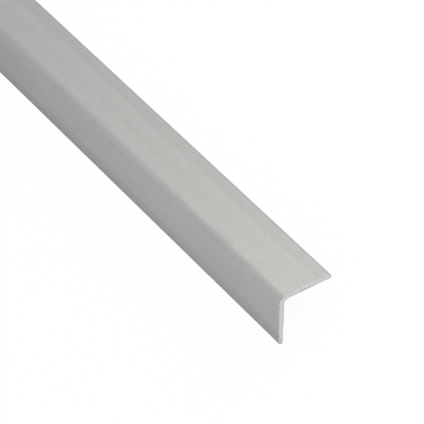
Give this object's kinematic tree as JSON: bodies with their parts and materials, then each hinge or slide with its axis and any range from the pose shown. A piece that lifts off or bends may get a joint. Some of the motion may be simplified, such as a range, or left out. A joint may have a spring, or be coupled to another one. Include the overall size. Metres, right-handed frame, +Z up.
{
  "type": "metal angle section",
  "caption": "Equal-leg L-shaped metal angle stock with a rounded outside corner, a root fillet and rounded free edges, sawn square at both ends.",
  "frame": {"origin": "on the floor, below the middle of the length and below the outside corner", "axes": "+X along the length, towards the sawn end that the picture shows; +Z up, through the outside corner, which is the top of the tent; the legs slope down at 45 degrees to +Y and to -Y"},
  "size_m": [1, 0.0342, 0.0174],
  "materials": {
    "aluminium": "satin silver extrusion, with bare saw-cut ends"
  },
  "bodies": {
    "root": {"angle_section": "aluminium"}
  },
  "joints": []
}
